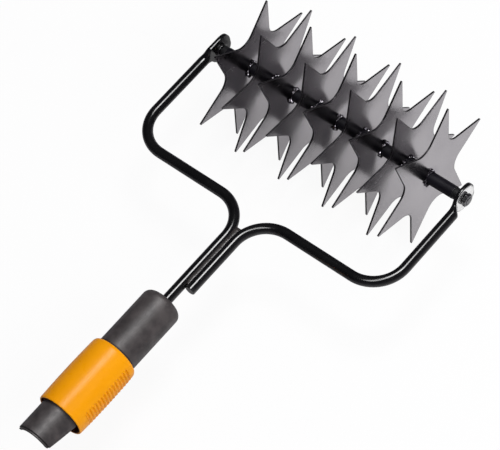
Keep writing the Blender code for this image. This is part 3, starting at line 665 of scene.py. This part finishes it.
# The eye and neck of a bar: rings from the tip backwards, and how bare each point is. The eye is a plate with
# a tip on the curve |y/R|^n + |z/R|^n = 1, rounded over its edges. Behind the hole its side is a circle, or
# straight for a given way, and in the neck it eases to the round bar. Its outer face is bare metal.
def eyeRings(side):
    n = yoke["around"]
    b = angles(n)
    c, s = np.cos(b), np.sin(b)
    look = yoke["eyes"][side]
    radius, eyeR, corner, power = yoke["barRadius"], yoke["eyeRadius"], look["corner"], look["squareness"]
    rim = eyeThick / 2
    neckStart, neckEnd = -yoke["neckStart"], -yoke["neckStart"] - yoke["neck"]
    over = np.sin(np.radians([10.0, 30.0, 50.0, 70.0, 90.0]))
    tip = eyeR - corner * (1 - np.sqrt(1 - over[::-1] ** 2))[::-1]
    onCurve = eyeR * np.cos(np.radians(np.linspace(20.0, 90.0, 20))) ** (2 / power)
    onCurve = onCurve[onCurve < tip[-1] - 0.1 * mm][:-1]
    along = np.concatenate([tip, onCurve, np.linspace(0.0, neckEnd, 42)])
    tipWidth = eyeR * (1 - np.clip(along / eyeR, 0, 1) ** power) ** (1 / power)
    tipWidth[0] = 0.4 * tipWidth[1]
    onCircle = (np.maximum(eyeR ** 2 - along ** 2, 0) ** 4 + radius ** 8) ** 0.125
    onPlate = smoothStep(neckEnd, neckStart, along)
    depth = radius + (rim - radius) * onPlate
    depth[:5] = rim - corner + corner * over
    middle = yoke["armX"] + (eyeInner + rim - yoke["armX"]) * onPlate
    t = np.linspace(0, math.pi / 2, n // 4 + 1)
    blend = onPlate[:, None]
    quarters = []
    for straight in look["straight"]:
        onStraight = radius + (eyeR - radius) * smoothStep(neckEnd, -straight, along)
        sideWidth = np.where(along > -straight, eyeR, onStraight)
        width = np.where(along > 0, tipWidth, sideWidth if straight else onCircle)
        x, z = flatQuarter(depth, width, corner, np.maximum(look["bulge"], depth), n // 4)
        quarters.append((x * blend + depth[:, None] * np.cos(t) * (1 - blend),
                         z * blend + width[:, None] * np.sin(t) * (1 - blend)))
    k = np.arange(n) % (n // 2)
    pick = np.minimum(k, n // 2 - k)
    quarterX, quarterZ = (np.where(s >= 0, up[:, pick], down[:, pick]) for up, down in zip(*quarters))
    x = np.where(np.abs(c) < 1e-9, 0.0, np.sign(c)) * quarterX
    z = np.where(np.abs(s) < 1e-9, 0.0, np.sign(s)) * quarterZ
    onEye = smoothStep(neckStart - 3.0 * mm, neckStart + 1.0 * mm, along)[:, None]
    fromHole = np.hypot(along[:, None], z) / eyeR
    bareAndShade = onEye * smoothStep(0.90, 0.97, x / rim) * (1 - smoothStep(0.90, 0.99, fromHole))
    return np.stack([yokeX + side * (middle[:, None] + x), axleY + along[:, None] + 0 * x, z], -1), bareAndShade


# One bar from the eye's tip to the stem's end. From the neck on, each section is a circle square to the path,
# and the stem's end is chamfered.
def barMesh(name, side, stemX, stemEnd):
    eye, bareAndShade = eyeRings(side)
    armX = yokeX + side * yoke["armX"]
    path, way = bentPath([
        (armX, axleY - yoke["neckStart"] - yoke["neck"]), (armX, yoke["crossbarY"]),
        (stemX, yoke["crossbarY"]), (stemX, stemEnd),
    ], yoke["bend"])
    chamfer, radius = yoke["endChamfer"], yoke["barRadius"]
    path = np.concatenate([path[1:-1], [[stemX, stemEnd + chamfer], [stemX, stemEnd]]])
    way = np.concatenate([way[1:], way[-1:]])
    across = np.stack([-way[:, 1], way[:, 0]], -1) * side
    size = np.full((len(path), 1), radius)
    size[-1] = radius - chamfer
    b = angles(yoke["around"])
    flat = [path[:, k:k + 1] + across[:, k:k + 1] * np.cos(b) * size for k in (0, 1)]
    rings = np.concatenate([eye, np.stack([*flat, size * np.sin(b)], -1)])
    edge = np.zeros(rings.shape[:2])
    edge[-2:] = 0.8
    return ringMesh(name, rings, edge, np.pad(bareAndShade, ((0, len(path)), (0, 0))), sharp=40.0)


longBar = barMesh("longBar", -1, 0.0, yoke["longStemEnd"])
shortBar = barMesh("shortBar", 1, yoke["stemGap"], yoke["shortStemEnd"])
addPiece(longBar, glossBlack, "head", "black_paint", "long_bar")
addPiece(shortBar, glossBlack, "head", "black_paint", "short_bar")

stemWeld = millimetres(
    start=125.4, length=65.0, height=2.35, width=2.3, rise=1.35, ripple=2.1, shift=0.35, wander=0.12,
    bendStart=178.6,
) | dict(webWidens=1.15, webSinks=0.45)


# A bead along the groove between the stems: an ellipse whose size ripples along it and tapers at both ends.
# Past the start of the bends it widens by as much as the two bars part, which webs the crotch.
def stemBeadMesh(name, up):
    t = np.linspace(0, 1, 170)
    b = angles(20)
    taper = np.sqrt(np.clip(1 - (2 * t - 1) ** 14, 0.01, 1))
    y = stemWeld["start"] + t * stemWeld["length"]
    wave = (y / stemWeld["ripple"]) % 1.0
    ripple = 1 + 0.09 * (1 - wave) + 0.05 * np.sin(70 * t + 3 * up) + 0.04 * np.sin(161 * t)
    size = (taper * ripple)[:, None]
    past = np.clip(y - stemWeld["bendStart"], 0, yoke["bend"] * 0.9)
    parting = (yoke["bend"] - np.sqrt(yoke["bend"] ** 2 - past ** 2))[:, None]
    width = stemWeld["width"] * size + parting * stemWeld["webWidens"]
    low = stemWeld["height"] - stemWeld["webSinks"] * parting
    middle = yoke["stemGap"] / 2 + stemWeld["shift"] + stemWeld["wander"] * np.sin(31 * t + up)[:, None]
    x = middle + width * np.cos(b)
    z = up * (low + stemWeld["rise"] * size * np.sin(b))
    return ringMesh(name, np.stack([x, y[:, None] + 0 * x, z], -1), sharp=60.0)


for up, label in ((1, "upper"), (-1, "lower")):
    mesh = stemBeadMesh(f"stemBead{label.title()}", up)
    addPiece(mesh, paintedWeld, "head", "weld_metal", f"stem_weld_{label}")
print("yoke made")


# Handle socket

socket = millimetres(
    radius=17.5, front=103.3, fillet=6.0, hole=5.0, holeDepth=5.3, tongue=52.0, wall=3.2,
    edgeAtSeat=-3.0, edgeAtEnd=7.4, notches=(31.7, 5.7), notchDepth=0.5, notchWidth=1.6,
    grooveRear=8.8, grooveFront=41.6, grooveHalf=2.4, grooveDepth=1.6, lip=(-50.7, 0.8),
    pinY=69.3, pinHole=2.3, pinDepth=0.7, hook=(-46.0, -43.0), hookHeight=1.0, hookSlope=0.3,
    # the last pair is where a dark ring is painted on the socket, as the shade beside the sleeve's lip
    sideBelly=0.35, grime=(43.2, 44.6),
)


# Evenly spread values with closer ones added round the places where the surface steps.
def spreadWith(low, high, count, places, reach, closeCount):
    base = np.linspace(low, high, count)
    extra = [place + np.linspace(-reach, reach, closeCount) for place in places]
    values = np.unique(np.round(np.concatenate([base, *extra]), 7))
    return values[(values >= low) & (values <= high)]


# A barrel turned about Y. Its radius is cut back in two ring notches, in two key grooves at the sides and in
# the round mouth of the pin's hole below, each with a steep smooth wall. A quarter circle rounds the front
# edge, and the front face has the stem's hole. A dark ring is painted where the sleeve's lip ends, as its
# shade.
def barrelRings():
    r, front, fillet, hole = socket["radius"], socket["front"], socket["fillet"], socket["hole"]
    pinHole, wall = socket["pinHole"], 0.1 * mm
    places = [k * math.pi + s * socket["grooveHalf"] / r for k in (0, 1, 2) for s in (-1, 1)]
    places += [1.5 * math.pi + s * pinHole / r for s in (-1, 1)]
    a = spreadWith(0.0, 2 * math.pi, 121, places, 0.02, 7)[:-1]
    walls = [n + s * socket["notchWidth"] / 2 for n in socket["notches"] for s in (-1, 1)]
    walls += [socket["grooveRear"], socket["grooveFront"], *socket["grime"]]
    pinWalls = socket["pinY"] + pinHole * np.linspace(-1.25, 1.25, 21)
    y = np.unique(np.concatenate([spreadWith(0.4 * mm, front - fillet, 44, walls, 0.15 * mm, 5), pinWalls]))
    yy, aa = np.meshgrid(y, a, indexing="ij")
    cut = np.zeros_like(yy)
    for n in socket["notches"]:
        inNotch = between(-socket["notchWidth"] / 2, socket["notchWidth"] / 2, wall, yy - n)
        cut = np.maximum(cut, socket["notchDepth"] * inNotch)
    inGroove = between(-socket["grooveHalf"], socket["grooveHalf"], wall, np.sin(aa) * r)
    inGroove *= between(socket["grooveRear"], socket["grooveFront"], wall, yy)
    cut = np.maximum(cut, socket["grooveDepth"] * inGroove)
    fromPin = np.hypot(yy - socket["pinY"], (aa - 1.5 * math.pi) * r)
    cut = np.maximum(cut, socket["pinDepth"] * (1 - smoothStep(pinHole - 0.15 * mm, pinHole, fromPin)))
    t = np.linspace(0, math.pi / 2, 12)[1:]
    frontR = r - fillet * (1 - np.cos(t))
    frontY = front - fillet * (1 - np.sin(t))
    rear = np.array([(4.0, 0.0), (11.0, 0.0), (17.1, 0.0), (17.4, 0.12)]) * mm
    bottom = front - socket["holeDepth"]
    inner = np.array([
        (hole + 3.0 * mm, front), (hole + 0.6 * mm, front), (hole + 0.15 * mm, front - 0.1 * mm),
        (hole, front - 0.4 * mm), (hole, bottom), (0.4 * hole, bottom),
    ])
    radius = stackRadii([rear[:, 0], r - cut, frontR, inner[:, 0]], len(a))
    place = np.concatenate([rear[:, 1], y, frontY, inner[:, 1]])
    edge = np.zeros_like(radius)
    edge[2:4] = 0.7
    edge[len(rear):len(rear) + len(y)] = np.where((cut > 0.08 * mm) & (cut < 0.45 * mm), 0.6, 0.0)
    edge[-5:-3] = 0.8
    edge[-3] = 0.4
    # painted shade: a dark ring on the socket beside the sleeve's lip
    low, high = socket["grime"]
    grime = smoothStep(low - 0.6 * mm, low, place) * (1 - smoothStep(high, high + 0.5 * mm, place))
    return roundY(radius, place[:, None], a), edge, grime[:, None]


# A shell bent round Y: each section runs over the outer arc and back over the inner one, between side edges
# whose height rises in a straight line towards the end. Near the end a rib stands on the inner arc, and the
# outer arc steps down to a lip. Short curves between the arcs' ends soften the side edges.
def tongueShell(shell):
    n = 60
    lipEnd, lipDrop = socket["lip"]
    hookRear, hookFront = socket["hook"]
    slope = socket["hookSlope"]
    atLip = np.array([-0.45, -0.1, 0.05, 0.45, 0.7, 1.1]) * mm
    back = np.concatenate([
        np.array([0.0, 0.15, 0.5]) * mm - socket["tongue"], lipEnd + atLip,
        np.linspace(hookRear - 3.2 * mm, hookRear - 0.6 * mm, 5), hookRear + np.linspace(-slope, slope, 5),
        hookFront + np.linspace(-slope, slope, 5), np.linspace(hookFront + 1.0 * mm, -0.5 * mm, 26),
        np.array([0.0, 0.6]) * mm,
    ])
    shrink = np.zeros(len(back))
    shrink[:2] = np.array([0.4, 0.12]) * mm
    shrink[-2:] = np.array([0.25, 0.35]) * mm
    drop = shrink + lipDrop * (1 - smoothStep(lipEnd, lipEnd + 0.5 * mm, back))
    rise = (socket["edgeAtSeat"] - socket["edgeAtEnd"]) / socket["tongue"]
    height = socket["edgeAtSeat"] + rise * back
    rib = between(hookRear, hookFront, slope, back)
    across = 1 - smoothStep(0.72, 0.86, np.abs(np.linspace(-1, 1, n)))[None]
    outerR = (socket["radius"] - drop)[:, None]
    inside = socket["radius"] - socket["wall"]
    innerR = (inside + shrink)[:, None] - socket["hookHeight"] * rib[:, None] * across
    low = np.arcsin(np.clip((height + shrink)[:, None] / outerR, -0.99, 0.99))
    lowIn = np.arcsin(np.clip((height + shrink) / inside, -0.99, 0.99))[:, None]
    t = np.linspace(0, 1, n)
    outer = roundY(outerR, back[:, None], low + (math.pi - 2 * low) * t)
    inner = roundY(innerR, back[:, None], math.pi - lowIn - (math.pi - 2 * lowIn) * t)
    s = np.linspace(0, 1, 7)[1:-1, None]

    # five points between two rows, bowed downwards
    def sideEdge(start, end):
        curve = start[:, None] + (end - start)[:, None] * s
        curve[..., 2] -= np.sin(np.pi * s[:, 0]) * socket["sideBelly"]
        return curve

    rings = [outer, sideEdge(outer[:, -1], inner[:, 0]), inner, sideEdge(inner[:, -1], outer[:, 0])]
    rings = np.concatenate(rings, axis=1)
    rows, columns = rings.shape[:2]
    edge = np.zeros((rows, columns))
    edge[:, n:n + 5] = 0.6
    edge[:, -5:] = 0.6
    # Painted shade: the riser of the step down to the lip and the end row are darkened.
    nearStep = smoothStep(lipEnd - 0.45 * mm, lipEnd - 0.1 * mm, back)
    nearStep *= 1 - smoothStep(lipEnd + 0.6 * mm, lipEnd + 1.0 * mm, back)
    nearStep[0] = 0.9
    grime = np.zeros((rows, columns))
    grime[:, 1:n - 1] = nearStep[:, None]
    first = shell.addPoints(rings, edge, grime)
    shell.faces += gridFaces(rows, columns, False, True, first)
    k = np.arange(n - 1)
    for row in (0, rows - 1):
        start = first + row * columns
        over = start + 2 * n + 4 - k
        shell.faces += np.stack([start + k, start + k + 1, over - 1, over], -1).tolist()
        for corner in (n - 1, 2 * n + 4):
            shell.faces.append([start + (corner + step) % columns for step in range(7)])


socketShell = Shell()
socketShell.addTube(*barrelRings())
tongueShell(socketShell)
socketMesh = socketShell.build("handleSocket", sharp=38.0)
addPiece(socketMesh, socketGrey, "head", "grey_plastic", "handle_socket")
print("socket made")


# Lock sleeve

sleeve = millimetres(
    front=43.2, length=65.5, radius=21.2, crown=0.5, lip=18.5, bore=19.2, frontRim=19.3, rearRim=20.6,
    frontRound=4.0, rearRound=1.6, lipLength=14.0, lipSlope=1.3, ribPitch=3.3, ribMiddle=12.2,
    ribHeight=1.15,
) | dict(ribs=15, ribSunk=0.62, ribHalfAngles=(math.radians(24.5), math.radians(20.0)))


# A sleeve turned about Y. The outer skin swells slightly and has a patch of short grip ribs at each side: a
# row of rounded ridges along Y, faded out towards the patch's ends. The inside steps from a close lip to a
# bore, and is painted dark all over as the shade within the sleeve.
def sleeveMesh():
    rear = sleeve["front"] - sleeve["length"]
    frontEnd = sleeve["front"] - sleeve["frontRound"]
    rearEnd = rear + sleeve["rearRound"]
    lipEnd = sleeve["front"] - sleeve["lipLength"]
    halfPatch = sleeve["ribs"] * sleeve["ribPitch"] / 2
    places = [k * math.pi + s * sleeve["ribHalfAngles"][k % 2] for k in (0, 1, 2) for s in (-1, 1)]
    a = spreadWith(0.0, 2 * math.pi, 121, places, 0.05, 9)[:-1]
    halfAngle = np.where(np.cos(a) > 0, *sleeve["ribHalfAngles"])
    ribRows = sleeve["ribMiddle"] + np.linspace(-halfPatch, halfPatch, sleeve["ribs"] * 10 + 1)
    y = np.unique(np.round(np.concatenate([np.linspace(frontEnd, rearEnd, 20), ribRows]), 7))[::-1]
    share = (y - frontEnd) / (rearEnd - frontEnd)
    skin = sleeve["radius"] + sleeve["crown"] * (1 - (2 * share - 1) ** 2)
    turns = (y - sleeve["ribMiddle"]) / sleeve["ribPitch"] + 0.5 * (sleeve["ribs"] % 2)
    phase = np.abs(turns % 1.0 - 0.5) * 2
    inPatch = 1 - smoothStep(halfPatch - 0.25 * mm, halfPatch, np.abs(y - sleeve["ribMiddle"]))
    away = np.abs((a + math.pi / 2) % math.pi - math.pi / 2)
    inFan = 1 - smoothStep(halfAngle - 0.06, halfAngle, away)
    ridge = inPatch * (smoothStep(0.22, 0.72, phase) - sleeve["ribSunk"])
    outer = skin[:, None] + ridge[:, None] * inFan * sleeve["ribHeight"]
    t = np.linspace(0, math.pi / 2, 11)[:-1]
    front = np.stack([sleeve["frontRim"] + (sleeve["radius"] - sleeve["frontRim"]) * np.sin(t),
                      frontEnd + sleeve["frontRound"] * np.cos(t)], -1)
    t = np.linspace(0, math.pi / 2, 8)[1:]
    back = np.stack([sleeve["rearRim"] + (sleeve["radius"] - sleeve["rearRim"]) * np.cos(t),
                     rearEnd - sleeve["rearRound"] * np.sin(t)], -1)
    inside = softProfile([
        (sleeve["rearRim"], rear), (sleeve["bore"], rear), (sleeve["bore"], lipEnd - sleeve["lipSlope"]),
        (sleeve["lip"], lipEnd), (sleeve["lip"], sleeve["front"]), (sleeve["frontRim"], sleeve["front"]),
    ], 0.3 * mm)[1:-1]
    radius = stackRadii([front[:, 0], outer, back[:, 0], inside[:, 0]], len(a))
    place = np.concatenate([front[:, 1], y, back[:, 1], inside[:, 1]])[:, None]
    skinStart, skinEnd = len(front), len(front) + len(y)
    rearRow = skinEnd + len(back)
    edge = np.zeros_like(radius)
    edge[:3] = 0.8
    edge[rearRow - 3:rearRow + 4] = 0.8
    edge[skinStart:skinEnd] = (smoothStep(0.75, 1.0, phase) * inPatch)[:, None] * inFan * 0.6
    # painted shade: the whole inside, from the rear face round to the front face, is darkened
    bareAndShade = np.zeros_like(radius)
    bareAndShade[rearRow:] = 1.0
    return ringMesh("lockSleeve", roundY(radius, place, a), edge, bareAndShade, joined=True, sharp=45.0)


addPiece(sleeveMesh(), sleeveOrange, "sleeve", "orange_plastic", "lock_sleeve")
print("sleeve made")

for node in ("detent_ring", "stem_pin"):
    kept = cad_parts[node]
    kept.data.materials.clear()
    kept.data.materials.append(springSteel)


# Floor, light and camera

room = dict(
    dimSide=-0.30, brightSide=0.36, tableDeep=-0.80, tableShallow=-0.30,
    horizon=0.22, overhead=0.03, leftShare=0.15, dimTint=0.81, fill=(0.22, 0.36),
)
stage = dict(
    floorZ=-67.4 * mm, floorHalf=6.0, paper=(0.82, 0.82, 0.82, 1.0),
    whiteToCamera=0.92, seenThrough=0.52,
)


# The floor is white paper. Camera rays see mostly plain white with a share of the lit paper, which keeps the
# shadow. Reflections see a share of the lit paper and, through it, the room's lower half.
def makeFloor():
    h, z = stage["floorHalf"], stage["floorZ"]
    mesh = bpy.data.meshes.new("floor")
    mesh.from_pydata([(-h, -h, z), (h, -h, z), (h, h, z), (-h, h, z)], [], [(0, 1, 2, 3)])
    floor = addObject("floor", mesh)
    material, shader, add = makeNodes("whitePaper")
    feed(shader, {"Base Color": stage["paper"], "Roughness": 0.9, "Specular IOR Level": 0.1})
    rays = add("LightPath").outputs
    seen = combine(add, "MULTIPLY", rays["Is Camera Ray"], stage["whiteToCamera"])
    white = add("Emission", {"Color": (1.0, 1.0, 1.0, 1.0), "Strength": 1.0}).outputs[0]
    mixed = add("MixShader", {0: seen, 1: shader.outputs[0], 2: white}).outputs[0]
    mirrored = combine(add, "MAXIMUM", rays["Is Glossy Ray"], rays["Is Transmission Ray"])
    mirrored = combine(add, "MULTIPLY", mirrored, stage["seenThrough"])
    mixed = add("MixShader", {0: mirrored, 1: mixed, 2: add("BsdfTransparent").outputs[0]}).outputs[0]
    feed(material.node_tree.nodes["Material Output"], {"Surface": mixed})
    mesh.materials.append(material)


# The room: white to the camera. As fill it is a dim grey, brighter from the right. In reflections it is white
# low on the right, like a pale table, dim and slightly violet round the horizon and on the left, and dark
# overhead.
def makeWorld():
    world = bpy.data.worlds.new("room")
    scene.world = world
    world.use_nodes = True
    tree = world.node_tree
    add = nodeAdder(tree)

    # from one range to another with level ends
    def ramp(value, fromLow, fromHigh, toLow, toHigh):
        return mapRange(add, value, fromLow, fromHigh, toLow, toHigh, "SMOOTHSTEP")

    # the first number at factor 0 and the second at 1
    def mix(factor, first, second):
        return add("Mix", {0: factor, 2: first, 3: second}).outputs[0]

    rays = add("LightPath").outputs
    way = add("SeparateXYZ", {0: add("TexCoord").outputs["Generated"]}).outputs
    toRight, upwards = way["X"], way["Z"]
    side = ramp(toRight, room["dimSide"], room["brightSide"], 0.0, 1.0)
    low = ramp(upwards, room["tableDeep"], room["tableShallow"], 1.0, 0.0)
    table = combine(add, "MULTIPLY", side, low)
    horizon = ramp(upwards, 0.1, 0.6, room["horizon"], room["overhead"])
    horizon = combine(add, "MULTIPLY", horizon, ramp(toRight, -0.4, 0.4, room["leftShare"], 1.0))
    fill = ramp(toRight, -0.7, 0.7, *room["fill"])
    level = mix(rays["Is Glossy Ray"], fill, mix(table, horizon, 1.0))
    level = mix(rays["Is Camera Ray"], level, 1.0)
    level = mix(rays["Is Transmission Ray"], level, 1.0)
    red = ramp(level, 0.0, 0.5, room["dimTint"], 1.0)
    green = ramp(level, 0.0, 0.5, room["dimTint"] ** 2, 1.0)
    tint = add("CombineColor", {0: red, 1: green, 2: 1.0}).outputs[0]
    feed(tree.nodes["Background"], {"Color": tint, "Strength": level})


# A soft box that looks back at the object from a direction, with its longer side along a given way. The last
# two values say whether it lights matt surfaces and whether glossy ones mirror it.
def addSoftbox(name, look):
    data = bpy.data.lights.new(name, "AREA")
    data.shape = "RECTANGLE"
    data.size, data.size_y = look["size"]
    data.energy = look["power"]
    lamp = addObject(name, data)
    way = Vector(look["way"]).normalized()
    side = Vector(look["longSide"])
    side = (side - way * side.dot(way)).normalized()
    axes = Matrix((side, way.cross(side), way)).transposed().to_4x4()
    lamp.matrix_world = Matrix.Translation(Vector((0.0, 0.2, 0.0)) + way * look["distance"]) @ axes
    lamp.visible_diffuse, lamp.visible_glossy = look["lights"]


makeFloor()
makeWorld()
addSoftbox("topBox", dict(
    way=(0.06, 0.31, 0.95), longSide=(-0.79, -0.61, 0.0), distance=1.8,
    size=(0.66, 0.66), power=20.0, lights=(True, True),
))
addSoftbox("sideBox", dict(
    way=(0.74, -0.04, 0.67), longSide=(0.0, 1.0, 0.0), distance=2.0,
    size=(1.1, 0.9), power=18.5, lights=(True, False),
))
addSoftbox("stripBox", dict(
    way=(0.12, -0.03, 0.99), longSide=(0.0, 1.0, 0.0), distance=1.8,
    size=(1.55, 0.56), power=27.0, lights=(False, True),
))

# Place and axes of the camera, worked out from the star tips in the photograph and then from the outlines of
# the stars, the yoke and the coupling. The focal length is in pixels of a picture 500 wide.
view = dict(
    place=(0.96751, -0.56509, 1.88338), right=(0.76048, 0.63645, -0.12887),
    up=(-0.48972, 0.69244, 0.52981), back=(0.42643, -0.33980, 0.83827),
    focal=2799.07, imageWidth=500.0, sensor=36.0,
)
cameraData = bpy.data.cameras.new("camera")
cameraData.sensor_fit = "HORIZONTAL"
cameraData.sensor_width = view["sensor"]
cameraData.lens = view["focal"] / view["imageWidth"] * view["sensor"]
cameraData.clip_start = 0.05
cameraData.clip_end = 50.0
camera = addObject("camera", cameraData)
turn = Matrix((view["right"], view["up"], view["back"])).transposed().to_4x4()
camera.matrix_world = Matrix.Translation(view["place"]) @ turn
bpy.context.scene.camera = camera
print("stage made")
